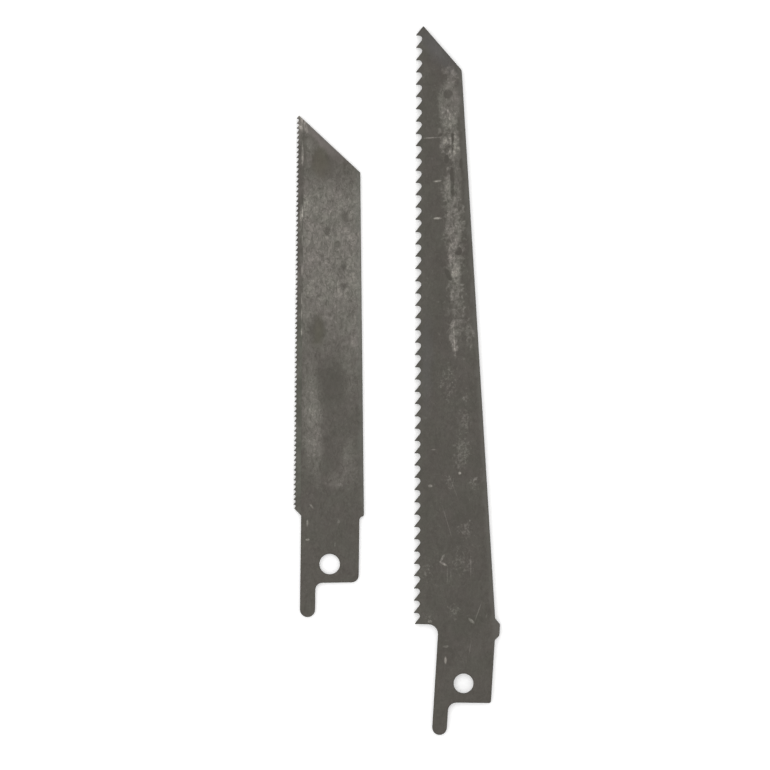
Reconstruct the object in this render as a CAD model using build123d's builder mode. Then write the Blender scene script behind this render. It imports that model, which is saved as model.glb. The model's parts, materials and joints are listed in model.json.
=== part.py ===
from build123d import *
from math import cos, floor, radians, sin
import os

os.makedirs("parts", exist_ok=True)

# Two loose reciprocating saw blades that lie flat, side by side, with their tangs towards -Y and
# their teeth towards -X. Millimetres, +Z up. The origin is the middle of the pair's footprint, at
# the level of the lowest set teeth, which is what the blades rest on.
#
# Each blade is drawn in a frame of its own: the origin is the tang hole, +Y runs along the shank
# towards the nose, and the teeth are on the -X side. A tooth row has a frame of its own as well:
# +X runs along the tooth tips towards the nose, +Y points out of the blade, and the origin is at
# the tip of the heel tooth.

# How the two blades lie: each is turned a little, nose to the right.
SHORT_TURN = 0.7
LONG_TURN = 3.55
PAIR_SPACING = 29.12  # from the short blade's tang hole to the long one's, across
PAIR_STAGGER = 25.95  # and how much lower the long one's lies

# Short blade: a metal-cutting blade with fine wavy-set teeth on a welded strip.
SHORT_THICKNESS = 0.9
SHORT_SHANK_WIDTH = 12.7
SHORT_HOLE_RADIUS = 2.225
SHORT_HOLE_TO_END = 4.05
SHORT_END_SLANT = 1.4
SHORT_TONGUE_WIDTH = 3.3
SHORT_TONGUE_REACH = 11.6  # from the hole to the tongue's tip
SHORT_END_CORNER = 1.55
SHORT_TONGUE_CROOK = 1.5
SHORT_HEEL = 12.25  # from the hole to the toothed edge's heel, along the shank
SHORT_HEEL_CUT = 0.5  # the heel takes this much off the front of the heel tooth
SHORT_TEETH_PROUD = 1.75  # the heel tooth's tip stands this far outside the shank
SHORT_ROW_TURN = 0.2
SHORT_BACK_PROUD = 0.98  # the back stands this far outside the shank
SHORT_BACK_HEEL = 10.57
SHORT_BACK_STEP = 0.4
SHORT_BACK_CROOK = 0.75
SHORT_ROW_LENGTH = 86.3  # heel tooth to the point of the nose
SHORT_LAST_TOOTH = 0.4  # no tooth starts nearer than this to the point of the nose
SHORT_NOSE_DROP = 12.76  # the nose's back corner lies this far behind its point
SHORT_TAPER = 1.31
SHORT_PITCH = 1.063
SHORT_TOOTH_DEPTH = 0.52
SHORT_FLANK = 52.7
SHORT_STRIP_WIDTH = 1.65  # tooth tips to the weld
SHORT_BEND_WIDTH = 1.2  # tooth tips to where the set bends them
SHORT_LEAN = 10.5
SHORT_SET = (0, 1, 1, 0, -1, -1)  # wavy set, tooth by tooth: up, down or straight

# Long blade: a wood-cutting blade in one piece, with coarse raker-set teeth.
LONG_THICKNESS = 1.25
LONG_SHANK_WIDTH = 12.42
LONG_HOLE_RADIUS = 2.15
LONG_HOLE_TO_END = 4.19
LONG_END_SLANT = 2.8
LONG_TONGUE_WIDTH = 3.2
LONG_TONGUE_REACH = 11.5
LONG_END_CORNER = 0.45
LONG_TONGUE_CROOK = 1.8
LONG_HEEL = 12.24
LONG_HEEL_CUT = 0.29  # the heel's edge takes this much off the front of the heel tooth
LONG_HEEL_RISE = 0.22  # the heel's edge is this much higher at the shank than at its tooth
LONG_HEEL_CROOK = 2.1
LONG_TEETH_PROUD = 5.44
LONG_BACK_HEEL = 12.8
LONG_ROW_LENGTH = 132.24
LONG_LAST_TOOTH = 3.5
LONG_NOSE_DROP = 10.84
LONG_NOSE_CORNER = 1.0
LONG_ROW_TURN = 3.32
LONG_TAPER = 7.04
LONG_PITCH = 2.673
LONG_TOOTH_DEPTH = 1.38
LONG_FLANK = 51.7
LONG_BEND_WIDTH = 1.8
LONG_LEAN = 10.0
LONG_SET = (1, -1, 0)  # raker set
LONG_NUB_MIDDLE = 12.1
LONG_NUB_BASE = 4.5
LONG_NUB_TOP = 2.5
LONG_NUB_HEIGHT = 0.93
LONG_NUB_CROWN = 0.07

FAR = 400.0  # larger than any blade, for the cutting shapes
CLEAR = 5.0  # how far a cutting shape runs past the tooth tips


def gullet_radius(pitch, depth, flank):
    """The arc that touches the tooth's flank, the next tooth's front and the gullet's floor."""
    lean = sin(radians(flank))
    stand = cos(radians(flank))
    return (pitch * stand - depth * lean) / (stand + 1 - lean)


def tooth_gaps(pitch, depth, flank, teeth):
    """All the gaps of a row as one face. A tooth's front faces the tang, its flank the nose."""
    lean = sin(radians(flank))
    stand = cos(radians(flank))
    radius = gullet_radius(pitch, depth, flank)
    last_tip = (teeth - 1) * pitch
    with BuildSketch() as gaps:
        with BuildLine():
            for tooth in range(teeth - 1):
                tip = tooth * pitch
                middle = Vector(tip + pitch - radius, radius - depth)
                flank_end = middle - Vector(stand, lean) * radius
                front_end = middle + Vector(radius, 0)
                Line((tip, 0), flank_end)
                ThreePointArc(flank_end, middle - Vector(0, radius), front_end)
                Line(front_end, (tip + pitch, 0))
            past_nose = (last_tip + CLEAR * lean, -CLEAR * stand)
            Polyline((last_tip, 0), past_nose, (last_tip + FAR, CLEAR), (0, CLEAR), (0, 0))
        make_face()
    return gaps.sketch


def row_frame(shank_width, proud, heel, turn):
    """The tooth row's frame, given in the blade's."""
    return Location((-shank_width / 2 - proud, heel), 90 + turn)


def row_point(row, along):
    """A point on the line of the tooth tips, given in the blade's frame."""
    return (row * Location((along, 0))).position


def zone(profile, row, inner, outer):
    """What a blade's flat profile holds between two depths under the tooth tips."""
    with BuildSketch() as part:
        add(profile)
        with Locations(row * Location((0, -(inner + outer) / 2))):
            Rectangle(FAR, inner - outer, mode=Mode.INTERSECT)
    return part.sketch


def set_teeth(edge, row, pitch, radius, teeth, pattern, side):
    """The teeth of the flat edge that lean to one side, in the tooth row's frame."""
    with BuildSketch() as leaning:
        for tooth in range(teeth):
            if pattern[tooth % len(pattern)] == side:
                start = tooth * pitch - radius if tooth else -FAR / 2
                end = (tooth + 1) * pitch - radius if tooth < teeth - 1 else FAR
                with Locations(((start + end) / 2, 0)):
                    Rectangle(end - start, FAR)
        add(row.inverse() * edge, mode=Mode.INTERSECT)
    return leaning.sketch


def bend_line(row, bend_width):
    """The tooth row's frame, moved in from the tips to the line where the teeth are bent."""
    return row * Location((0, -bend_width))


def bent_plane(sheet, line, thickness, lean, side):
    """Where the teeth of one side are drawn: a plane hinged on the face that they lean from."""
    face = Location((0, 0, thickness if side < 0 else 0))
    return Plane(sheet.location * face * line * Rotation(side * lean, 0, 0))


def tip_drop(thickness, bend_width, lean):
    """How far a bent tooth's tip reaches past the blade's face."""
    return bend_width * sin(radians(lean)) - thickness * (1 - cos(radians(lean)))


def sheet_plane(hole, turn, level):
    """The plane of a blade's lower face, with its origin at the tang hole."""
    along = radians(turn)
    return Plane((hole.X, hole.Y, level), x_dir=(cos(along), -sin(along), 0))


def nearest(point):
    """The sketch's corner nearest to a point."""
    return BuildSketch._get_context().vertices().sort_by_distance(point)[0]


# Short blade, flat.
short_side = SHORT_SHANK_WIDTH / 2
short_row = row_frame(
    SHORT_SHANK_WIDTH, SHORT_TEETH_PROUD, SHORT_HEEL - SHORT_HEEL_CUT, SHORT_ROW_TURN
)
short_teeth = floor((SHORT_ROW_LENGTH - SHORT_LAST_TOOTH) / SHORT_PITCH) + 1
short_point = row_point(short_row, SHORT_ROW_LENGTH)
short_back_length = short_point.Y - SHORT_NOSE_DROP - SHORT_BACK_HEEL
short_back_heel = Vector(short_side + SHORT_BACK_PROUD, SHORT_BACK_HEEL)
short_back_nose = short_back_heel + Vector(0, short_back_length).rotate(Axis.Z, SHORT_TAPER)
short_end_rise = short_side * sin(radians(SHORT_END_SLANT))

with BuildSketch() as short_flat:
    with BuildLine():
        Polyline(
            (-short_side, -SHORT_HOLE_TO_END - short_end_rise),
            (short_side, -SHORT_HOLE_TO_END + short_end_rise),
            (short_side, SHORT_BACK_HEEL - SHORT_BACK_STEP),
            short_back_heel,
            short_back_nose,
            short_point,
            row_point(short_row, SHORT_HEEL_CUT),
            (-short_side, SHORT_HEEL - SHORT_TEETH_PROUD),
            close=True,
        )
    make_face()
    fillet(nearest((short_side, SHORT_BACK_HEEL - SHORT_BACK_STEP)), SHORT_BACK_CROOK)
    fillet(nearest((short_side, -SHORT_HOLE_TO_END + short_end_rise)), SHORT_END_CORNER)
    with Locations((-short_side + SHORT_TONGUE_WIDTH / 2, 0)):
        Rectangle(
            SHORT_TONGUE_WIDTH,
            SHORT_TONGUE_REACH - SHORT_TONGUE_WIDTH / 2,
            align=(Align.CENTER, Align.MAX),
        )
        with Locations((0, -SHORT_TONGUE_REACH + SHORT_TONGUE_WIDTH / 2)):
            Circle(SHORT_TONGUE_WIDTH / 2)
    fillet(nearest((-short_side + SHORT_TONGUE_WIDTH, -SHORT_HOLE_TO_END)), SHORT_TONGUE_CROOK)
    Circle(SHORT_HOLE_RADIUS, mode=Mode.SUBTRACT)
    with Locations(short_row):
        add(
            tooth_gaps(SHORT_PITCH, SHORT_TOOTH_DEPTH, SHORT_FLANK, short_teeth),
            mode=Mode.SUBTRACT,
        )

# Long blade, flat.
long_side = LONG_SHANK_WIDTH / 2
long_row = row_frame(
    LONG_SHANK_WIDTH, LONG_TEETH_PROUD, LONG_HEEL - LONG_HEEL_CUT, LONG_ROW_TURN
)
long_teeth = floor((LONG_ROW_LENGTH - LONG_LAST_TOOTH) / LONG_PITCH) + 1
long_point = row_point(long_row, LONG_ROW_LENGTH)
long_back_length = (long_point.Y - LONG_NOSE_DROP - LONG_BACK_HEEL) / cos(radians(LONG_TAPER))
long_back_heel = Vector(long_side, LONG_BACK_HEEL)
long_back_nose = long_back_heel + Vector(0, long_back_length).rotate(Axis.Z, LONG_TAPER)
long_end_rise = long_side * sin(radians(LONG_END_SLANT))

with BuildSketch() as long_flat:
    with BuildLine():
        Polyline(
            (-long_side, -LONG_HOLE_TO_END - long_end_rise),
            (long_side, -LONG_HOLE_TO_END + long_end_rise),
            long_back_heel,
            long_back_nose,
            long_point,
            row_point(long_row, LONG_HEEL_CUT),
            (-long_side, LONG_HEEL + LONG_HEEL_RISE),
            close=True,
        )
    make_face()
    fillet(nearest(long_back_nose), LONG_NOSE_CORNER)
    fillet(nearest((-long_side, LONG_HEEL + LONG_HEEL_RISE)), LONG_HEEL_CROOK)
    fillet(nearest((long_side, -LONG_HOLE_TO_END + long_end_rise)), LONG_END_CORNER)
    with Locations((-long_side + LONG_TONGUE_WIDTH / 2, 0)):
        Rectangle(
            LONG_TONGUE_WIDTH,
            LONG_TONGUE_REACH - LONG_TONGUE_WIDTH / 2,
            align=(Align.CENTER, Align.MAX),
        )
        with Locations((0, -LONG_TONGUE_REACH + LONG_TONGUE_WIDTH / 2)):
            Circle(LONG_TONGUE_WIDTH / 2)
    fillet(nearest((-long_side + LONG_TONGUE_WIDTH, -LONG_HOLE_TO_END)), LONG_TONGUE_CROOK)
    # The nub on the back edge, where the blade passes into the tang.
    with BuildLine():
        nub_low = LONG_NUB_MIDDLE - LONG_NUB_TOP / 2
        nub_high = LONG_NUB_MIDDLE + LONG_NUB_TOP / 2
        nub_out = long_side + LONG_NUB_HEIGHT
        ThreePointArc(
            (nub_out, nub_low),
            (nub_out + LONG_NUB_CROWN, LONG_NUB_MIDDLE),
            (nub_out, nub_high),
        )
        Polyline(
            (nub_out, nub_high),
            (long_side, LONG_NUB_MIDDLE + LONG_NUB_BASE / 2),
            (0, LONG_NUB_MIDDLE),
            (long_side, LONG_NUB_MIDDLE - LONG_NUB_BASE / 2),
            (nub_out, nub_low),
        )
    make_face()
    Circle(LONG_HOLE_RADIUS, mode=Mode.SUBTRACT)
    with Locations(long_row):
        add(
            tooth_gaps(LONG_PITCH, LONG_TOOTH_DEPTH, LONG_FLANK, long_teeth),
            mode=Mode.SUBTRACT,
        )

# The pair, laid out about the middle of its footprint.
short_drop = tip_drop(SHORT_THICKNESS, SHORT_BEND_WIDTH, SHORT_LEAN)
long_drop = tip_drop(LONG_THICKNESS, LONG_BEND_WIDTH, LONG_LEAN)
short_laid = sheet_plane(Vector(0, 0), SHORT_TURN, 0) * short_flat.sketch
long_laid = sheet_plane(Vector(PAIR_SPACING, -PAIR_STAGGER), LONG_TURN, 0) * long_flat.sketch
middle = Compound([short_laid, long_laid]).bounding_box().center()
short_sheet = sheet_plane(Vector(0, 0) - middle, SHORT_TURN, short_drop)
long_sheet = sheet_plane(Vector(PAIR_SPACING, -PAIR_STAGGER) - middle, LONG_TURN, long_drop)

# Short blade's backer: the spring-steel body and tang, up to the weld.
with BuildPart() as short_blade_backer:
    with BuildSketch(short_sheet):
        add(zone(short_flat.sketch, short_row, FAR, SHORT_STRIP_WIDTH))
    extrude(amount=SHORT_THICKNESS)

# Short blade's toothed strip: high-speed steel, welded to the backer edge to edge.
short_edge = zone(short_flat.sketch, short_row, SHORT_BEND_WIDTH, -CLEAR)
short_bend = bend_line(short_row, SHORT_BEND_WIDTH)
short_gullet = gullet_radius(SHORT_PITCH, SHORT_TOOTH_DEPTH, SHORT_FLANK)
with BuildPart() as short_blade_tooth_strip:
    with BuildSketch(short_sheet):
        add(zone(short_flat.sketch, short_row, SHORT_STRIP_WIDTH, SHORT_BEND_WIDTH))
    extrude(amount=SHORT_THICKNESS)
    for side in (0, 1, -1):
        with BuildSketch(bent_plane(short_sheet, short_bend, SHORT_THICKNESS, SHORT_LEAN, side)):
            add(
                set_teeth(
                    short_edge, short_bend, SHORT_PITCH, short_gullet, short_teeth, SHORT_SET, side
                )
            )
        extrude(amount=-SHORT_THICKNESS if side < 0 else SHORT_THICKNESS)

# Long blade: body, tang and teeth in one piece.
long_edge = zone(long_flat.sketch, long_row, LONG_BEND_WIDTH, -CLEAR)
long_bend = bend_line(long_row, LONG_BEND_WIDTH)
long_gullet = gullet_radius(LONG_PITCH, LONG_TOOTH_DEPTH, LONG_FLANK)
with BuildPart() as long_blade:
    with BuildSketch(long_sheet):
        add(zone(long_flat.sketch, long_row, FAR, LONG_BEND_WIDTH))
    extrude(amount=LONG_THICKNESS)
    for side in (0, 1, -1):
        with BuildSketch(bent_plane(long_sheet, long_bend, LONG_THICKNESS, LONG_LEAN, side)):
            add(
                set_teeth(
                    long_edge, long_bend, LONG_PITCH, long_gullet, long_teeth, LONG_SET, side
                )
            )
        extrude(amount=-LONG_THICKNESS if side < 0 else LONG_THICKNESS)

for name, blade in (
    ("long_blade", long_blade),
    ("short_blade_backer", short_blade_backer),
    ("short_blade_tooth_strip", short_blade_tooth_strip),
):
    blade.part.label = name
    export_step(blade.part, f"parts/{name}.step")
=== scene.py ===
import json
import math

import bmesh
import bpy
import numpy as np
from mathutils import Matrix, Vector
from mathutils.geometry import delaunay_2d_cdt


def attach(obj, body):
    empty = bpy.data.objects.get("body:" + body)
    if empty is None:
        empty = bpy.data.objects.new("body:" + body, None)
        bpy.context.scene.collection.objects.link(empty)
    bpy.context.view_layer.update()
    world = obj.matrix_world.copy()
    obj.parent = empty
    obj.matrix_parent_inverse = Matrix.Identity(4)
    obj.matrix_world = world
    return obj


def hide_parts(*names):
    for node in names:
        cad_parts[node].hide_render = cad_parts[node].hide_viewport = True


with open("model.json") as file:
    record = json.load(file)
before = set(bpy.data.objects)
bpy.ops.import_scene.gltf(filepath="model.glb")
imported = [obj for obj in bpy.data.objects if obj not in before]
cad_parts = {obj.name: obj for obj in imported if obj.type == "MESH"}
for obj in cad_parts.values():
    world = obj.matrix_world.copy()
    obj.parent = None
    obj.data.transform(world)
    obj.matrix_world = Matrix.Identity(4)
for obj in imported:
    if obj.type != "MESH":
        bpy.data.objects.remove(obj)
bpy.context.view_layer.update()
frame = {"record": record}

# ---------------------------------------------------------------------------------------------
# Wood-cutting blade. One piece of carbon steel strip: the outline is blanked, the teeth are milled
# in a stack of blades and then bent in turn up, down and straight, the raker set.

# Sizes are in millimetres and degrees, in the blade's own frame: the tang hole is the origin, +Y
# runs to the nose and the teeth are on the -X side. A tooth row has a frame of its own, with +X
# along the tips to the nose and +Y out of the blade. A CORNER is the radius where the outline
# turns outwards, and a CROOK where it turns inwards.
LONG_SHANK = 12.42
LONG_TANG_END = 4.19  # from the hole to the end beside the tongue
LONG_END_SLANT = 2.8
LONG_END_CORNER = 0.45
LONG_TONGUE = 3.2
LONG_TONGUE_REACH = 11.5  # from the hole to the tongue's tip
LONG_TONGUE_CROOK = 1.8
LONG_BACK_HEEL = 12.8  # where the back starts to slope towards the nose
LONG_TAPER = 7.04
LONG_HEEL = 12.24
LONG_HEEL_CUT = 0.29  # the heel's edge takes this much off the front of the heel tooth
LONG_HEEL_RISE = 0.22
LONG_HEEL_CROOK = 2.1
LONG_PROUD = 5.44  # the heel tooth's tip stands this far outside the shank
LONG_ROW_TURN = 3.32
LONG_ROW = 132.24  # heel tooth to the point of the nose
LONG_LAST_TOOTH = 3.5  # no tooth starts nearer than this to the point of the nose
LONG_NOSE_DROP = 10.84  # the nose's back corner lies this far behind its point
LONG_NOSE_CORNER = 1.0
LONG_POINT_CORNER = 0.15
LONG_PITCH = 2.673
LONG_DEPTH = 1.38
LONG_FLANK = 51.7
LONG_BEND = 1.8  # the set bends the sheet this far inside the tips
LONG_LEAN = 10.0
LONG_SET = (1, -1, 0)
LONG_NUB = (12.1, 4.5, 2.5, 0.93)  # its middle, its width at the back and outside, and its height
LONG_NUB_CROOK = 0.5
LONG_NUB_CORNER = 0.3

TOOTH_TIP = 0.07  # the radius that use has worn on the tooth points
TOOTH_EDGE = 0.025  # the milled edges are nearly sharp
BLANKED_EDGE = (0.20, 0.11)  # a blanked edge is rolled over: this far in, and this far down
ROLL = ((0.0, 1.0), (0.12, 0.52), (0.40, 0.16), (1.0, 0.0))  # the section of a rolled edge
FLAT = 0.02  # a narrow flat beside the roll keeps the faces flat up to it
BEND_SOFTNESS = 0.4  # the sheet bends over this far to each side of the bend line
ARC_STEP = math.radians(20)  # an arc has a point at least this often
SHARP_FROM = math.radians(38)  # edges that turn more than this are shaded sharp
MILLIMETRE = 0.001

mounts = {mount["name"]: mount for mount in frame["record"]["mounts"]}


def lie(blade):
    """Where a blade lies: takes its own millimetres to the frame's metres."""
    hole = mounts[f"{blade}_tang_hole"]["pos_m"]
    shank = mounts[f"{blade}_shank"]["axis"]
    level = mounts[f"{blade}_underside"]["pos_m"][2]
    turn = math.atan2(shank[0], -shank[1])
    return (
        Matrix.Translation((hole[0], hole[1], level))
        @ Matrix.Rotation(turn, 4, "Z")
        @ Matrix.Scale(MILLIMETRE, 4)
    )


def row_frame(shank, proud, heel, turn):
    """The tooth row's frame in the blade's: the origin is the tip of the heel tooth."""
    place = Matrix.Translation((-shank / 2 - proud, heel, 0))
    return place @ Matrix.Rotation(math.radians(90 + turn), 4, "Z")


def on_row(row, along, out=0.0):
    """A point this far along a tooth row and out of it, given in the blade's frame."""
    return (row @ Vector((along, out, 0))).xy


def turned(length, degrees):
    """A step of this length that starts towards the nose and is turned to the left."""
    return Vector((-math.sin(math.radians(degrees)), math.cos(math.radians(degrees)))) * length


def crossing(a, b, c, d):
    """Where two straight edges, drawn on past their ends, meet."""
    along, across = b - a, d - c
    share = (c - a).cross(across) / along.cross(across)
    return a + along * share


def teeth_corners(row, pitch, depth, flank, count):
    """The row from the nose to the heel as corners, each with its radius."""
    lean, stand = math.sin(math.radians(flank)), math.cos(math.radians(flank))
    gullet = (pitch * stand - depth * lean) / (stand + 1 - lean)
    corners = []
    for tooth in reversed(range(1, count)):
        corners.append((on_row(row, tooth * pitch), TOOTH_TIP))
        corners.append((on_row(row, tooth * pitch, -pitch * stand / lean), gullet))
    return corners


def flank_of(row, tip, flank):
    """Two points on a tooth's sloping flank, which runs from its tip towards the nose."""
    lean, stand = math.sin(math.radians(flank)), math.cos(math.radians(flank))
    return on_row(row, tip), on_row(row, tip + lean, -stand)


def rounded(corners):
    """A closed outline: each corner becomes an arc of its radius."""
    outline = []
    for n, (corner, radius) in enumerate(corners):
        if radius == 0:
            outline.append(corner)
            continue
        back = (corners[n - 1][0] - corner).normalized()
        on = (corners[(n + 1) % len(corners)][0] - corner).normalized()
        half = back.angle(on) / 2
        centre = corner + (back + on).normalized() * (radius / math.sin(half))
        start = corner + back * (radius / math.tan(half)) - centre
        sweep = math.pi - 2 * half
        side = 1 if back.cross(on) < 0 else -1
        steps = max(2, math.ceil(sweep / ARC_STEP))
        for step in range(steps + 1):
            outline.append(centre + Matrix.Rotation(side * sweep * step / steps, 2) @ start)
    same = 1e-4  # points nearer than this are one point
    return [p for n, p in enumerate(outline) if (p - outline[n - 1]).length > same]


def inset(outline, widths):
    """The outline moved inwards, by a width of its own at each point."""
    least = 0.3  # keeps a sharp corner from moving in much further than its sides
    moved = []
    for n, point in enumerate(outline):
        back = (point - outline[n - 1]).normalized()
        on = (outline[(n + 1) % len(outline)] - point).normalized()
        inward = (back.orthogonal() + on.orthogonal()).normalized()
        moved.append(point + inward * (widths[n] / max(least, inward.dot(on.orthogonal()))))
    return moved


def depth_in(row, point):
    """How far a point lies inside the line of the tooth tips, and how far along the row."""
    place = row.inverted() @ Vector((point.x, point.y, 0))
    return -place.y, place.x


def drop_of(thickness, bend, lean):
    """How far past the blade's face a bent tooth's tip stands."""
    return bend * math.sin(math.radians(lean)) - thickness * (1 - math.cos(math.radians(lean)))


def raker(along):
    """Which way the raker set leans the tooth here, with a soft change in the gullets."""
    lean, stand = math.sin(math.radians(LONG_FLANK)), math.cos(math.radians(LONG_FLANK))
    gullet = (LONG_PITCH * stand - LONG_DEPTH * lean) / (stand + 1 - lean)
    place = (along + gullet) / LONG_PITCH
    tooth = math.floor(place)
    here, before = LONG_SET[tooth % 3], LONG_SET[(tooth - 1) % 3]
    share = min(1.0, (place - tooth) * LONG_PITCH / gullet)
    return before + (here - before) * share * share * (3 - 2 * share)


def bent(height, soft):
    """The rise of a bent sheet, from this far before its bend: none, then a curve, then a
    slope."""
    if height <= -soft:
        return 0.0
    return (height + soft) ** 2 / (4 * soft) if height < soft else height


def sheet(name, place, loops, thickness, row, bend, drop, set_at, soft, edge_of):
    """A blade's mesh: both faces, rolled edges and walls, with the teeth bent by their set."""
    made = bmesh.new()

    def rise(point):
        depth, along = depth_in(row, point)
        if depth >= bend + soft:
            return 0.0
        return set_at(along) * drop * bent(bend - depth, soft) / bend

    def band(upper, lower):
        for n, here in enumerate(upper):
            made.faces.new((upper[n - 1], lower[n - 1], lower[n], here))

    inner, tops, bottoms = [], [], []
    for loop in loops:
        edges = [edge_of(p) for p in loop]
        shapes = [inset(loop, [w * share for w, _ in edges]) for share, _ in ROLL]
        shapes.append(inset(loop, [w + FLAT for w, _ in edges]))
        falls = [[down * share for _, down in edges] for _, share in ROLL] + [[0.0] * len(loop)]
        upper = [
            [made.verts.new((p.x, p.y, thickness - f + rise(p))) for p, f in zip(shape, fall)]
            for shape, fall in zip(shapes, falls)
        ]
        lower = [
            [made.verts.new((p.x, p.y, f + rise(p))) for p, f in zip(shape, fall)]
            for shape, fall in zip(shapes, falls)
        ]
        for outer, nearer in zip(upper, upper[1:]):
            band(nearer, outer)
        for outer, nearer in zip(lower, lower[1:]):
            band(outer, nearer)
        band(upper[0], lower[0])
        inner.append(shapes[-1])
        tops += upper[-1]
        bottoms += lower[-1]

    # Both faces are cut into triangles, with five rows of points where the sheet bends. No point
    # of a row is close to an outline.
    apart, clear = soft * 0.8, soft * 0.35
    outline = np.array([p for loop in inner for p in loop])
    reach = [depth_in(row, p)[1] for p in loops[0]]
    fill = []
    for depth in np.linspace(bend - soft, bend + soft, 5):
        for along in np.arange(min(reach), max(reach), apart):
            point = on_row(row, along, -depth)
            nearest = min(np.hypot(*(outline - np.array(point)).T))
            if nearest > clear and within(point, inner):
                fill.append(point)
    points = [p for loop in inner for p in loop] + fill
    faces, start = [], 0
    for loop in inner:
        faces.append(list(range(start, start + len(loop))))
        start += len(loop)
    inside_loops, tolerance = 2, 1e-6
    _, _, triangles, first, _, _ = delaunay_2d_cdt(points, [], faces, inside_loops, tolerance)
    tops += [made.verts.new((p.x, p.y, thickness + rise(p))) for p in fill]
    bottoms += [made.verts.new((p.x, p.y, rise(p))) for p in fill]
    for triangle in triangles:
        corners = [first[n][0] for n in triangle]
        made.faces.new([tops[n] for n in corners])
        made.faces.new([bottoms[n] for n in reversed(corners)])
    loose = [v for v in made.verts if not v.link_faces]
    bmesh.ops.delete(made, geom=loose, context="VERTS")
    bmesh.ops.transform(made, matrix=place, verts=made.verts)
    for face in made.faces:
        face.smooth = True
    mesh = bpy.data.meshes.new(name)
    made.to_mesh(mesh)
    made.free()
    mesh.set_sharp_from_angle(angle=SHARP_FROM)
    piece = bpy.data.objects.new(name, mesh)
    bpy.context.scene.collection.objects.link(piece)
    return piece


def within(point, loops):
    """Whether a point lies on the sheet: inside its outline and outside its holes."""
    inside = False
    for loop in loops:
        for n, b in enumerate(loop):
            a = loop[n - 1]
            if (a.y > point.y) != (b.y > point.y):
                if point.x < a.x + (b.x - a.x) * (point.y - a.y) / (b.y - a.y):
                    inside = not inside
    return inside


def rolled_past(row, milled, clear, over):
    """The section of an edge by its place: nearly sharp as deep as it is milled and a little
    clear of that, then growing over a length into the roll of a blanked edge."""
    def section(point):
        share = min(1.0, max(0.0, (depth_in(row, point)[0] - milled - clear) / over))
        return tuple(TOOTH_EDGE + (size - TOOTH_EDGE) * share for size in BLANKED_EDGE)
    return section


def round_hole(radius):
    """A hole's outline, the other way round from the blade's."""
    steps = 48
    return [
        Vector((radius * math.cos(a), -radius * math.sin(a)))
        for a in (2 * math.pi * n / steps for n in range(steps))
    ]


long_place = lie("long")
long_thickness = mounts["long_tang_hole"]["dims"]["length_mm"]
long_row = row_frame(LONG_SHANK, LONG_PROUD, LONG_HEEL - LONG_HEEL_CUT, LONG_ROW_TURN)
long_side = LONG_SHANK / 2
long_count = math.floor((LONG_ROW - LONG_LAST_TOOTH) / LONG_PITCH) + 1
long_rise = long_side * math.sin(math.radians(LONG_END_SLANT))
long_point = on_row(long_row, LONG_ROW)
long_heel = on_row(long_row, LONG_HEEL_CUT)
long_crook = Vector((-long_side, LONG_HEEL + LONG_HEEL_RISE))
long_back = Vector((long_side, LONG_BACK_HEEL))
long_back_rise = long_point.y - LONG_NOSE_DROP - LONG_BACK_HEEL
long_nose = long_back + turned(long_back_rise / math.cos(math.radians(LONG_TAPER)), LONG_TAPER)
long_last_flank = flank_of(long_row, (long_count - 1) * LONG_PITCH, LONG_FLANK)
nub_middle, nub_base, nub_top, nub_height = LONG_NUB
nub_low = Vector((long_side + nub_height, nub_middle - nub_top / 2))
nub_high = Vector((long_side + nub_height, nub_middle + nub_top / 2))
nub_foot = Vector((long_side, nub_middle + nub_base / 2))
long_inner = -long_side + LONG_TONGUE
long_end = -LONG_TANG_END - long_rise * (1 - 2 * LONG_TONGUE / LONG_SHANK)
long_corners = [
    (Vector((-long_side, -LONG_TONGUE_REACH)), LONG_TONGUE / 2),
    (Vector((long_inner, -LONG_TONGUE_REACH)), LONG_TONGUE / 2),
    (Vector((long_inner, long_end)), LONG_TONGUE_CROOK),
    (Vector((long_side, -LONG_TANG_END + long_rise)), LONG_END_CORNER),
    (Vector((long_side, nub_middle - nub_base / 2)), LONG_NUB_CROOK),
    (nub_low, LONG_NUB_CORNER),
    (nub_high, LONG_NUB_CORNER),
    (crossing(nub_high, nub_foot, long_back, long_nose), LONG_NUB_CROOK),
    (long_nose, LONG_NOSE_CORNER),
    (crossing(long_nose, long_point, *long_last_flank), LONG_POINT_CORNER),
    *teeth_corners(long_row, LONG_PITCH, LONG_DEPTH, LONG_FLANK, long_count),
    (crossing(*flank_of(long_row, 0, LONG_FLANK), long_heel, long_crook), TOOTH_TIP),
    (long_crook, LONG_HEEL_CROOK),
]

long_drop = drop_of(long_thickness, LONG_BEND, LONG_LEAN)
wood_blade = sheet(
    "wood_cutting_blade", long_place,
    [rounded(long_corners), round_hole(mounts["long_tang_hole"]["dims"]["r_mm"])],
    long_thickness, long_row, LONG_BEND, long_drop, raker, BEND_SOFTNESS,
    rolled_past(long_row, LONG_DEPTH, clear=0.1, over=0.8),
)
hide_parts("long_blade")
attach(wood_blade, "long_blade")


def linear(colour):
    """An sRGB hex colour as the linear values that a shader takes."""
    parts = (int(colour[n:n + 2], 16) / 255 for n in (1, 3, 5))
    return (*(c / 12.92 if c <= 0.04045 else ((c + 0.055) / 1.055) ** 2.4 for c in parts), 1.0)


def add(tree, kind, inputs=(), **settings):
    """Adds a node. An input is a value, or another node's output, which is linked to it."""
    made = tree.nodes.new("ShaderNode" + kind)
    for setting, value in settings.items():
        setattr(made, setting, value)
    for socket, value in dict(inputs).items():
        if isinstance(value, bpy.types.NodeSocket):
            tree.links.new(value, made.inputs[socket])
        else:
            made.inputs[socket].default_value = value
    return made


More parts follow.
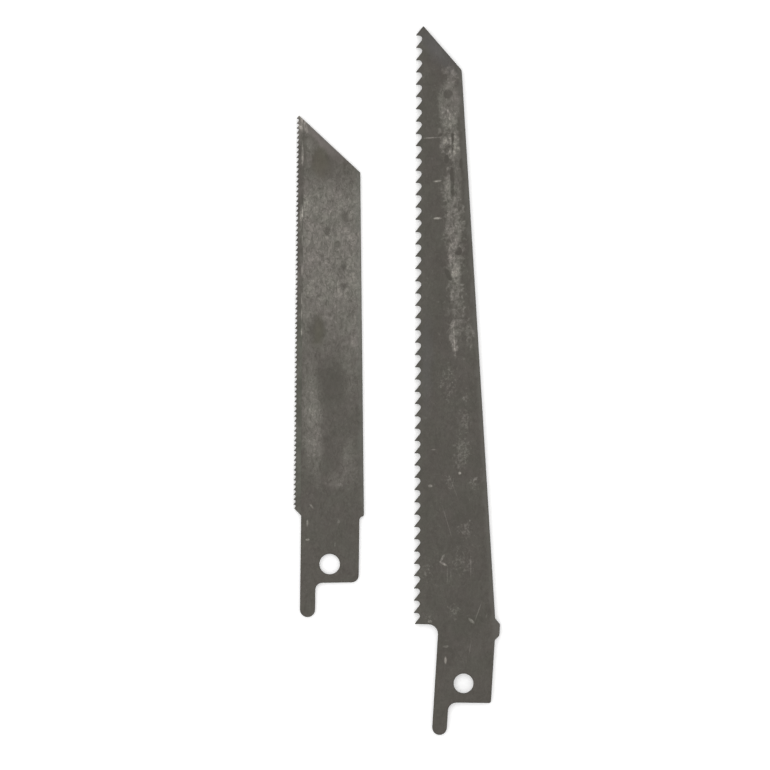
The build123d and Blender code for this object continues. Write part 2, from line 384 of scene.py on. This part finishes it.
def blade_ground(tree, place, row, length):
    """Millimetres on a blade: X back from the point of the nose, Y in from the tooth tips."""
    nose = place @ row @ Matrix.Translation((length, 0, 0)) @ Matrix.Rotation(math.pi, 4, "Z")
    return add(tree, "Mapping", {
        "Vector": add(tree, "TexCoord").outputs["Object"],
        "Location": nose.translation,
        "Rotation": nose.to_euler(),
        "Scale": nose.to_scale(),
    }, vector_type="TEXTURE").outputs[0]


def ragged(tree, ground, size, reach):
    """The same place shifted to and fro, so that what is laid out on it has ragged borders."""
    cloud = add(tree, "TexNoise", {"Vector": ground, "Scale": 1 / size, "Detail": 3.0})
    shift = add(tree, "VectorMath", {
        0: cloud.outputs["Color"], 1: (0.5, 0.5, 0.5),
    }, operation="SUBTRACT").outputs[0]
    return add(tree, "VectorMath", {
        0: shift, 1: (2 * reach, 2 * reach, 0), 2: ground,
    }, operation="MULTIPLY_ADD").outputs[0]


def marks(tree, ground, ovals, soft):
    """Marks on the steel, added up. Each is an oval: back from the nose, in from the teeth,
    half its length, half its width, its turn in degrees and its strength. Its border fades over
    a soft share of its size to either side."""
    through = 100  # an oval reaches far past both faces, so that height doesn't count
    total = None
    for back, inside, length, width, turn, strength in ovals:
        local = add(tree, "Mapping", {
            "Vector": ground,
            "Location": (back, inside, 0),
            "Rotation": (0, 0, math.radians(turn)),
            "Scale": (length, width, through),
        }, vector_type="TEXTURE").outputs[0]
        away = add(tree, "VectorMath", {0: local}, operation="LENGTH").outputs["Value"]
        oval = add(tree, "MapRange", {
            "Value": away, "From Min": 1 - soft, "From Max": 1 + soft,
            "To Min": strength, "To Max": 0.0,
        }, interpolation_type="SMOOTHSTEP").outputs[0]
        total = oval if total is None else add(
            tree, "Math", {0: total, 1: oval}, operation="ADD").outputs[0]
    return total


def flaked(tree, ground, patch, size):
    """Breaks a soft patch into flakes of this size, whole at its middle and few at its border."""
    push = 0.55  # how much the patch adds to the noise
    bare, whole = 0.6, 0.95  # of that sum
    flakes = add(tree, "TexNoise", {
        "Vector": ground, "Scale": 1 / size, "Detail": 4.0, "Distortion": 0.6,
    }).outputs[0]
    near = add(tree, "Math", {0: patch, 1: push, 2: flakes}, operation="MULTIPLY_ADD").outputs[0]
    return add(tree, "MapRange", {
        "Value": near, "From Min": bare, "From Max": whole,
    }, interpolation_type="SMOOTHSTEP").outputs[0]


def along_edge(tree, ground, start, turn, near, far):
    """1 on a straight edge that passes Y = start, fading out from this near to this far inside."""
    across = Vector((-math.sin(math.radians(turn)), math.cos(math.radians(turn)), 0))
    height = add(tree, "VectorMath", {0: ground, 1: across}, operation="DOT_PRODUCT")
    return add(tree, "MapRange", {
        "Value": height.outputs["Value"],
        "From Min": start * across.y - far, "From Max": start * across.y - near,
    }, interpolation_type="SMOOTHSTEP").outputs[0]


def toned(tree, value, tones):
    """Colours laid along a value, each at its place from 0 to 1."""
    ramp = add(tree, "ValToRGB", {"Fac": value})
    for n, (at, colour) in enumerate(tones):
        stop = ramp.color_ramp.elements[n] if n < 2 else ramp.color_ramp.elements.new(at)
        stop.position, stop.color = at, linear(colour)
    return ramp.outputs["Color"]


def old_steel(name, lay_out, tones, tints):
    """Steel under a thin skin of dry oil and oxide: dull, with light scale, pits and specks.
    lay_out gives how much light scale lies where, 0 to 1, and the washes of other colours."""
    steel = bpy.data.materials.new(name)
    steel.use_nodes = True
    tree = steel.node_tree
    shader = tree.nodes["Principled BSDF"]
    ground, light, washes = lay_out(tree)

    # Millimetres. The flakes, pits and specks are drawn coarser than real ones, which would be
    # lost at this distance, and the flakes and pits are drawn out along the blade.
    cloud_size, flake_size, pit_size, speck_size, hue_size = 1.9, 1.15, 1.5, 0.6, 3.4
    grain = add(tree, "VectorMath", {
        0: ground, 1: (0.62, 1.1, 1.0),
    }, operation="MULTIPLY").outputs[0]
    cloud = add(tree, "TexNoise", {
        "Vector": ground, "Scale": 1 / cloud_size, "Detail": 5.0, "Roughness": 0.7,
        "Distortion": 0.8,
    }).outputs[0]
    flake = add(tree, "TexNoise", {
        "Vector": grain, "Scale": 1 / flake_size, "Detail": 2.5, "Distortion": 1.2,
    }).outputs[0]
    flake = add(tree, "MapRange", {"Value": flake, "From Min": 0.45, "From Max": 0.54}).outputs[0]

    # Pits are thin and winding: they lie where a noise crosses its middle value.
    worm = add(tree, "TexNoise", {
        "Vector": grain, "Scale": 1 / pit_size, "Detail": 1.5, "Distortion": 1.8,
    }).outputs[0]
    off = add(tree, "Math", {0: worm, 1: 0.5}, operation="SUBTRACT").outputs[0]
    off = add(tree, "Math", {0: off}, operation="ABSOLUTE").outputs[0]
    pit = add(tree, "MapRange", {
        "Value": off, "From Max": 0.05, "To Min": 1.0, "To Max": 0.0,
    }).outputs[0]
    fine = add(tree, "TexNoise", {
        "Vector": ground, "Scale": 1 / speck_size, "Detail": 2.0,
    }).outputs[0]
    speck = add(tree, "MapRange", {"Value": fine, "From Min": 0.57, "From Max": 0.66}).outputs[0]

    # Clouds to either side of nothing, with each layer lightening or darkening them. There is
    # more of this texture where there is more light scale.
    texture = add(tree, "Math", {0: cloud, 1: 1.9, 2: -1.07}, operation="MULTIPLY_ADD").outputs[0]
    for layer, strength in ((flake, 0.32), (pit, -0.5), (speck, 0.36)):
        texture = add(tree, "Math", {
            0: layer, 1: strength, 2: texture,
        }, operation="MULTIPLY_ADD").outputs[0]
    share = add(tree, "Math", {0: light, 1: 0.78, 2: 0.05}, operation="MULTIPLY_ADD").outputs[0]
    scale = add(tree, "Math", {
        0: texture, 1: share, 2: light,
    }, operation="MULTIPLY_ADD").outputs[0]

    # Blanked and milled edges are a little brighter than the faces: partly rubbed wear, and partly
    # a
    #     # painted sheen of the light they catch, since it follows how far a face tilts from flat.
    facing = add(tree, "SeparateXYZ", {0: tree.nodes["Texture Coordinate"].outputs["Normal"]})
    level = add(tree, "Math", {0: facing.outputs["Z"]}, operation="ABSOLUTE").outputs[0]
    # Painted sheen and wear: faces that tilt from flat are lightened.
    edge_wear_and_sheen = add(tree, "MapRange", {
        "Value": level, "From Min": 0.35, "From Max": 0.98, "To Min": 0.12, "To Max": 0.0,
    }).outputs[0]
    scale = add(tree, "Math", {0: scale, 1: edge_wear_and_sheen}, operation="ADD", use_clamp=True).outputs[0]

    colour = toned(tree, scale, tones)
    hue = add(tree, "TexNoise", {"Vector": ground, "Scale": 1 / hue_size, "Detail": 3.0, "W": 1.0},
              noise_dimensions="4D").outputs[0]
    tint = toned(tree, hue, tints)
    colour = add(tree, "Mix", {0: 1.0, 6: colour, 7: tint},
                 data_type="RGBA", blend_type="MULTIPLY").outputs[2]
    for wash, wash_colour in washes:
        colour = add(tree, "Mix", {0: wash, 6: colour, 7: linear(wash_colour)},
                     data_type="RGBA").outputs[2]
    tree.links.new(colour, shader.inputs["Base Color"])

    # The skin is dull over the bare metal, a little smoother where it is light, and 0.02 mm deep.
    metal, dark_rough, light_rough, skin = 0.75, 0.62, 0.46, 2e-5
    shader.inputs["Metallic"].default_value = metal
    rough = add(tree, "MapRange", {
        "Value": scale, "To Min": dark_rough, "To Max": light_rough,
    }).outputs[0]
    tree.links.new(rough, shader.inputs["Roughness"])
    bump = add(tree, "Bump", {"Height": texture, "Strength": share, "Distance": skin})
    tree.links.new(bump.outputs[0], shader.inputs["Normal"])
    return steel


def carbon_steel_marks(tree):
    """Hardened carbon steel strip, rolled and ground smooth, which has lain long under oil. The
    oil dried and a thin skin of oxide grew under it: to the eye it is a dull warm grey, with a
    ragged band of pale scale towards the nose, and specks and bright scratches by the tang."""
    ground = blade_ground(tree, long_place, long_row, LONG_ROW)
    loose = ragged(tree, ground, 2.2, 0.9)
    base = add(tree, "TexNoise", {"Vector": ground, "Scale": 1 / 7, "Detail": 3.0}).outputs[0]
    base = add(tree, "MapRange", {
        "Value": base, "From Min": 0.3, "From Max": 0.7, "To Min": 0.05, "To Max": 0.13,
    }).outputs[0]

    # Even pale and dark patches among the scale.
    near = ragged(tree, ground, 1.4, 0.3)
    pale = marks(tree, near, (
        (18.6, 7.3, 5.0, 2.4, 2, 0.30),
        (28.5, 7.3, 3.4, 2.0, 0, 0.10),
        (31, 9.1, 8.5, 0.75, 4, 0.18),
        (53.0, 8.6, 5, 1.2, 4, 0.18),
        (12.3, 7.9, 1.8, 1.0, 40, 0.14),
        (16.6, 7.0, 1.0, 0.95, 0, -0.3),
        (25.6, 7.0, 0.5, 1.6, 0, -0.2),
        (27.2, 8.1, 2.2, 0.3, 0, -0.35),
        (28.4, 6.9, 1.2, 0.6, 0, -0.2),
        (36.0, 8.0, 3.6, 0.42, 2, -0.32),
        (30.8, 6.8, 0.9, 0.5, 0, -0.4),
        (31.8, 10.0, 1.0, 0.4, 0, -0.3),
        (50.8, 9.5, 0.9, 0.7, 0, -0.4),
        (56.0, 7.3, 1.3, 0.5, 30, -0.35),
    ), 0.25)

    # The band of scale, broken into flakes, and spots by the tang that are broken into specks.
    band = marks(tree, loose, (
        (26, 7.4, 6, 2.2, 2, 0.55),
        (36.5, 6.6, 2.6, 1.1, 0, 0.5),
        (46, 8.5, 11, 2.1, 3, 0.66),
        (63, 9.0, 8.5, 2.1, 4, 0.48),
        (71, 8.6, 3.5, 0.8, 4, 0.45),
        (69, 12.2, 3.5, 1.0, 4, 0.5),
        (12.5, 8.0, 3, 2.0, 40, 0.4),
    ), 0.6)
    flakes = flaked(tree, ground, band, 1.1)
    spots = marks(tree, loose, (
        (82.6, 10.8, 1.2, 0.9, 0, 0.46),
        (87.2, 11.0, 2.4, 1.1, 4, 0.46),
        (94.6, 10.4, 4.0, 1.7, 0, 0.48),
        (79.5, 7.2, 4.0, 1.8, 0, 0.38),
        (101.0, 13.0, 1.5, 1.0, 0, 0.46),
        (101.2, 7.7, 1.8, 0.8, 20, 0.46),
        (111.5, 11.3, 2.2, 1.6, 45, 0.42),
        (118.5, 10.8, 3.0, 2.6, 0, 0.36),
        (129.0, 8.8, 1.8, 1.3, 45, 0.46),
        (130.6, 3.6, 0.9, 1.2, 0, 0.42),
        (120.5, 2.8, 2.0, 1.2, 0, 0.40),
    ), 0.6)
    specks = flaked(tree, ground, spots, 0.55)

    # Scratches and small bare spots, where the skin is rubbed off.
    scratches = marks(tree, ground, (
        (109.6, 7.2, 3.3, 0.12, 17, 0.2),
        (129.4, 14.0, 2.0, 0.12, -20, 0.26),
        (137.2, 12.3, 1.9, 0.11, -9, 0.18),
        (102.2, 8.6, 3.0, 0.11, 21, 0.12),
        (119.6, 12.4, 2.6, 0.10, 1, 0.2),
        (121.4, 7.3, 1.4, 0.09, 0, 0.22),
        (121.2, 8.1, 1.2, 0.08, 2, 0.2),
        (26.2, 3.4, 1.9, 0.14, 94, 0.4),
        (70, 8.6, 3.4, 0.14, 4, 0.2),
        (35.6, 4.8, 0.8, 0.22, 96, 0.55),
        (43.7, 4.8, 0.8, 0.24, 92, 0.6),
        (94.0, 4.2, 0.4, 0.14, 90, 0.4),
        (101.9, 3.5, 0.45, 0.3, 90, 0.45),
        (99.1, 9.9, 0.28, 0.32, 0, 0.7),
        (139.8, 7.0, 0.7, 0.26, 0, 0.6),
        (136.8, 7.1, 0.25, 0.6, 5, 0.4),
        (117.6, 6.2, 0.9, 0.24, -30, 0.42),
        (118.8, 6.4, 0.9, 0.24, 62, 0.5),
        (131.2, 12.6, 0.8, 0.3, 50, 0.45),
        (131.4, 3.6, 0.3, 0.4, 0, 0.5),
    ), 0.45)
    light = add(tree, "Math", {0: flakes, 1: 0.40, 2: base}, operation="MULTIPLY_ADD").outputs[0]
    light = add(tree, "Math", {0: specks, 1: 0.32, 2: light}, operation="MULTIPLY_ADD").outputs[0]
    for more in (pale, scratches):
        light = add(tree, "Math", {0: light, 1: more}, operation="ADD").outputs[0]

    # The oil dried darker along the back edge and the teeth, and colder in two places.
    rim = along_edge(tree, loose, 9.25, LONG_TAPER - LONG_ROW_TURN, 0.3, 1.3)
    rim = add(tree, "Math", {0: rim, 1: 0.55}, operation="MULTIPLY").outputs[0]
    teeth = along_edge(tree, loose, 0.0, 180, -1.5, 4.0)
    teeth = add(tree, "Math", {0: teeth, 1: 0.6}, operation="MULTIPLY").outputs[0]
    cold = marks(tree, loose, ((7.0, 4.6, 5.0, 1.6, 42, 0.34), (75, 2.6, 9, 1.2, 0, 0.2)), 0.8)
    return ground, light, ((teeth, "#5A5952"), (rim, "#605E59"), (cold, "#605F62"))


# From the dark skin to the lightest scale, and the faint tints that wander over both.
STEEL_TONES = (
    (0.0, "#4D4A45"), (1.0, "#9A9690"), (0.2, "#595651"), (0.5, "#6B6863"), (0.8, "#84807A"),
)
STEEL_TINTS = ((0.35, "#FDFFFB"), (0.65, "#FFFCFC"))
wood_blade.data.materials.append(old_steel(
    "aged_carbon_steel", carbon_steel_marks, STEEL_TONES, STEEL_TINTS,
))

# ---------------------------------------------------------------------------------------------
# Metal-cutting blade's body and tang: a strip of tough spring steel, blanked to its outline. Along
# its toothed side it ends at the weld, a square edge that the toothed strip meets all along.

# The sizes are named as the wood-cutting blade's are.
SHORT_SHANK = 12.7
SHORT_TANG_END = 4.05
SHORT_END_SLANT = 1.4
SHORT_END_CORNER = 1.55
SHORT_TONGUE = 3.3
SHORT_TONGUE_REACH = 11.6
SHORT_TONGUE_CROOK = 1.5
SHORT_HEEL = 12.25
SHORT_HEEL_CUT = 0.5
SHORT_HEEL_CROOK = 0.4
SHORT_PROUD = 1.75
SHORT_ROW_TURN = 0.2
SHORT_BACK_PROUD = 0.98  # the back stands this far outside the shank
SHORT_BACK_HEEL = 10.57
SHORT_BACK_STEP = 0.4
SHORT_BACK_CROOK = 0.75
SHORT_BACK_CORNER = 0.3
SHORT_TAPER = 1.31
SHORT_ROW = 86.3
SHORT_LAST_TOOTH = 0.4
SHORT_NOSE_DROP = 12.76
SHORT_PITCH = 1.063
SHORT_DEPTH = 0.52
SHORT_FLANK = 52.7
SHORT_STRIP = 1.65  # tooth tips to the weld
SHORT_BEND = 1.2
SHORT_LEAN = 10.5

short_place = lie("short")
short_thickness = mounts["short_tang_hole"]["dims"]["length_mm"]
short_row = row_frame(SHORT_SHANK, SHORT_PROUD, SHORT_HEEL - SHORT_HEEL_CUT, SHORT_ROW_TURN)
short_side = SHORT_SHANK / 2
short_count = math.floor((SHORT_ROW - SHORT_LAST_TOOTH) / SHORT_PITCH) + 1
short_rise = short_side * math.sin(math.radians(SHORT_END_SLANT))
short_point = on_row(short_row, SHORT_ROW)
short_heel = on_row(short_row, SHORT_HEEL_CUT)
short_shoulder = Vector((-short_side, SHORT_HEEL - SHORT_PROUD))
short_back = Vector((short_side + SHORT_BACK_PROUD, SHORT_BACK_HEEL))
short_nose = short_back + turned(short_point.y - SHORT_NOSE_DROP - SHORT_BACK_HEEL, SHORT_TAPER)
short_weld = on_row(short_row, 0, -SHORT_STRIP), on_row(short_row, SHORT_ROW, -SHORT_STRIP)
weld_heel = crossing(short_shoulder, short_heel, *short_weld)
weld_nose = crossing(short_nose, short_point, *short_weld)
short_inner = -short_side + SHORT_TONGUE
short_end = -SHORT_TANG_END - short_rise * (1 - 2 * SHORT_TONGUE / SHORT_SHANK)
short_corners = [
    (Vector((-short_side, -SHORT_TONGUE_REACH)), SHORT_TONGUE / 2),
    (Vector((short_inner, -SHORT_TONGUE_REACH)), SHORT_TONGUE / 2),
    (Vector((short_inner, short_end)), SHORT_TONGUE_CROOK),
    (Vector((short_side, -SHORT_TANG_END + short_rise)), SHORT_END_CORNER),
    (Vector((short_side, SHORT_BACK_HEEL - SHORT_BACK_STEP)), SHORT_BACK_CROOK),
    (short_back, SHORT_BACK_CORNER),
    (short_nose, SHORT_BACK_CORNER),
    (weld_nose, 0.0),
    (weld_heel, 0.0),
    (short_shoulder, SHORT_HEEL_CROOK),
]


def unset(along):
    """The body lies flat: the set reaches only into the toothed strip."""
    return 0.0


metal_backer = sheet(
    "metal_cutting_blade_body", short_place,
    [rounded(short_corners), round_hole(mounts["short_tang_hole"]["dims"]["r_mm"])],
    short_thickness, short_row, bend=0.0, drop=0.0, set_at=unset, soft=0.3,
    edge_of=rolled_past(short_row, SHORT_STRIP, clear=0.05, over=0.5),
)
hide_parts("short_blade_backer")
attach(metal_backer, "short_blade")


def spring_steel_marks(tree):
    """Spring steel strip, rolled bright and tempered, under the same skin of dried oil and oxide.
    The oil lay unevenly along it: to the eye it is a dull grey in broad soft patches, pale in the
    nose half and darker towards the tang, with small bright nicks where it was handled."""
    ground = blade_ground(tree, short_place, short_row, SHORT_ROW)
    loose = ragged(tree, ground, 2.6, 1.1)

    # How pale it is along its length: each place is in parts of 100 mm back from the nose.
    across = add(tree, "SeparateXYZ", {0: loose}).outputs["X"]
    share = add(tree, "Math", {0: across, 1: 100.0}, operation="DIVIDE").outputs[0]
    base = toned(tree, share, (
        (0.04, "#8C8C8C"), (0.90, "#626262"), (0.11, "#7C7C7C"), (0.19, "#B6B6B6"),
        (0.38, "#B8B8B8"), (0.50, "#989898"), (0.57, "#6E6E6E"), (0.84, "#686868"),
    ))
    ovals = marks(tree, loose, (
        (67.0, 4.0, 11.0, 2.2, 3, 0.28),
        (76, 12.0, 5, 1.8, 0, 0.16),
        (80, 9.0, 1.6, 2.0, 0, 0.12),
        (55, 12.5, 8, 1.8, 0, 0.12),
        (47, 5.0, 3.2, 1.8, 0, -0.26),
        (58, 8.0, 4.5, 3.0, 0, -0.08),
        (25.6, 6.8, 1.1, 0.8, 20, -0.28),
        (22.8, 10.6, 1.0, 0.9, 0, -0.3),
        (28.5, 9.0, 0.9, 0.8, 0, -0.25),
        (33.2, 10.5, 1.0, 0.7, 0, -0.25),
        (37.5, 10.4, 0.6, 0.8, 0, -0.22),
        (10.5, 5.5, 3.6, 2.4, 0, -0.12),
        (8.5, 2.9, 2.6, 0.8, 0, 0.2),
    ), 0.5)

    # Nicks, and a nose that is rubbed bright.
    rubbed = marks(tree, ground, (
        (85.5, 4.0, 0.6, 0.2, 40, 0.4),
        (88.8, 9.9, 0.35, 0.3, 0, 0.2),
        (89.2, 3.1, 0.8, 0.22, -5, 0.42),
        (92.8, 3.2, 0.22, 0.42, 0, 0.5),
        (93.8, 9.2, 0.6, 0.14, 0, 0.25),
        (80.8, 10.2, 0.35, 0.6, -20, 0.2),
        (2.6, 1.8, 1.7, 0.45, 20, 0.5),
    ), 0.4)
    ovals = add(tree, "Math", {0: ovals, 1: rubbed}, operation="ADD").outputs[0]
    light = add(tree, "Math", {0: base, 1: ovals}, operation="ADD").outputs[0]

    # The oil dried darker along the back edge, olive in two places and pinkish by the nose.
    rim = along_edge(tree, loose, 13.5, SHORT_TAPER, 0.2, 1.4)
    rim = add(tree, "Math", {0: rim, 1: 0.45}, operation="MULTIPLY").outputs[0]
    olive = marks(tree, loose, (
        (10.5, 5.4, 3.2, 1.6, 0, 0.2),
        (47.5, 5.2, 2.8, 1.1, 0, 0.18),
    ), 0.8)
    pink = marks(tree, loose, ((6.0, 5.5, 4.5, 0.9, 46, 0.5),), 0.7)
    return ground, light, ((rim, "#686862"), (olive, "#6A6652"), (pink, "#77706E"))


metal_backer.data.materials.append(old_steel(
    "aged_spring_steel", spring_steel_marks, STEEL_TONES, STEEL_TINTS,
))

# ---------------------------------------------------------------------------------------------
# Its toothed strip: hardened high-speed steel, welded to the body edge to edge. The fine teeth
# are milled in it and then pressed into a wave, the wavy set.

short_last_flank = flank_of(short_row, (short_count - 1) * SHORT_PITCH, SHORT_FLANK)
strip_corners = [
    (weld_nose, 0.0),
    (crossing(short_nose, short_point, *short_last_flank), TOOTH_TIP),
    *teeth_corners(short_row, SHORT_PITCH, SHORT_DEPTH, SHORT_FLANK, short_count),
    (crossing(*flank_of(short_row, 0, SHORT_FLANK), short_heel, short_shoulder), TOOTH_TIP),
    (weld_heel, 0.0),
]


def wave(along):
    """The wavy set: two teeth up, one straight, two down, one straight."""
    leaning = 0.866  # the sine of 60 degrees, where the first and second tooth of a wave stand
    swing = math.sin(2 * math.pi * along / (6 * SHORT_PITCH))
    return max(-1.0, min(1.0, swing / leaning))


def milled_edge(point):
    """Every edge of the strip is milled or welded, so none has the wide roll of a blanked one."""
    return TOOTH_EDGE, TOOTH_EDGE


metal_strip = sheet(
    "metal_cutting_blade_teeth", short_place, [rounded(strip_corners)],
    short_thickness, short_row, SHORT_BEND, drop_of(short_thickness, SHORT_BEND, SHORT_LEAN),
    wave, BEND_SOFTNESS, milled_edge,
)
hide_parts("short_blade_tooth_strip")
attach(metal_strip, "short_blade")


def fast_steel_marks(tree):
    """High-speed steel, milled and then hardened, so the skin on it is thinner and darker. To the
    eye it is a dark even strip, with short light marks along the weld: painted glints where the
    bend of the wave catches the light, on crests that were also rubbed. By the nose it has worn
    bright patches."""
    ground = blade_ground(tree, short_place, short_row, SHORT_ROW)
    patch = add(tree, "TexNoise", {"Vector": ground, "Scale": 1 / 3, "Detail": 3.0}).outputs[0]
    light = add(tree, "MapRange", {
        "Value": patch, "From Min": 0.3, "From Max": 0.7, "To Min": 0.08, "To Max": 0.34,
    }).outputs[0]
    # Painted glints where the bend of the wave catches the light, at crests that were also rubbed.
    bend_glints = [(crest, 1.5, 1.35, 0.14, 0, 0.45) for crest in (21.6, 27.8, 34.2, 40.4, 43.9, 47.2)]
    worn = [
        (2.0, 0.9, 1.8, 0.6, 10, 0.6),
        (9.0, 1.4, 2.2, 0.25, 0, 0.5),
        (22.0, 1.2, 2.2, 0.35, 0, 0.35),
    ]
    rubbed = marks(tree, ground, bend_glints + worn, 0.5)
    light = add(tree, "Math", {0: light, 1: rubbed}, operation="ADD").outputs[0]
    green = marks(tree, ragged(tree, ground, 2.2, 0.6), ((66, 1.2, 22, 1.0, 0, 0.35),), 0.4)
    return ground, light, ((green, "#565A50"),)


metal_strip.data.materials.append(old_steel(
    "hardened_high_speed_steel", fast_steel_marks, STEEL_TONES, STEEL_TINTS,
))

# ---------------------------------------------------------------------------------------------
# A board painted matt white, large enough to fill every view. It glows a little, so that it comes
# out white round the blades with hardly a shadow.

TABLE_SIZE = 6.0  # metres
TABLE_CLEAR = 1e-5  # metres below the teeth that rest on it, so that no two faces coincide
bpy.ops.mesh.primitive_grid_add(
    x_subdivisions=2, y_subdivisions=2, size=TABLE_SIZE, location=(0, 0, -TABLE_CLEAR),
)
table_top = bpy.context.object
table_top.name = "table_top"

# Matt white paint, rolled on and dried without gloss: an even white without highlights.
paint = bpy.data.materials.new("pale_table_top")
paint.use_nodes = True
coat = paint.node_tree.nodes["Principled BSDF"].inputs
coat["Base Color"].default_value = (0.9, 0.9, 0.9, 1)
coat["Roughness"].default_value = 0.8
coat["Emission Color"].default_value = (1, 1, 1, 1)
coat["Emission Strength"].default_value = 0.2
table_top.data.materials.append(paint)

# Even white light from all round, and a large soft lamp like a window, high up and a little left.
world = bpy.data.worlds.new("soft_studio")
bpy.context.scene.world = world
world.use_nodes = True
world.node_tree.nodes["Background"].inputs["Color"].default_value = (1, 1, 1, 1)
world.node_tree.nodes["Background"].inputs["Strength"].default_value = 0.92

lamp = bpy.data.lights.new("window", "AREA")
lamp.energy = 8.0
lamp.size = 1.8
window = bpy.data.objects.new("window", lamp)
window.location = (-0.35, 0.25, 1.5)
window.rotation_euler = (Vector((0, 0, 0)) - window.location).to_track_quat("-Z", "Y").to_euler()
bpy.context.scene.collection.objects.link(window)

# The camera looks straight down from far off, through a long lens.
VIEW = 0.1675  # metres across the picture at the blades
BLADE_TOPS = 0.0012  # metres up, about where the upper faces lie
camera_data = bpy.data.cameras.new("camera")
camera_data.lens = 250
camera_data.sensor_width = 36
camera = bpy.data.objects.new("camera", camera_data)
camera_height = VIEW * camera_data.lens / camera_data.sensor_width + BLADE_TOPS
camera.location = (-0.00253, -0.00099, camera_height)
camera_data.clip_end = 20
bpy.context.scene.collection.objects.link(camera)
bpy.context.scene.camera = camera
bpy.context.scene.view_settings.view_transform = "Standard"
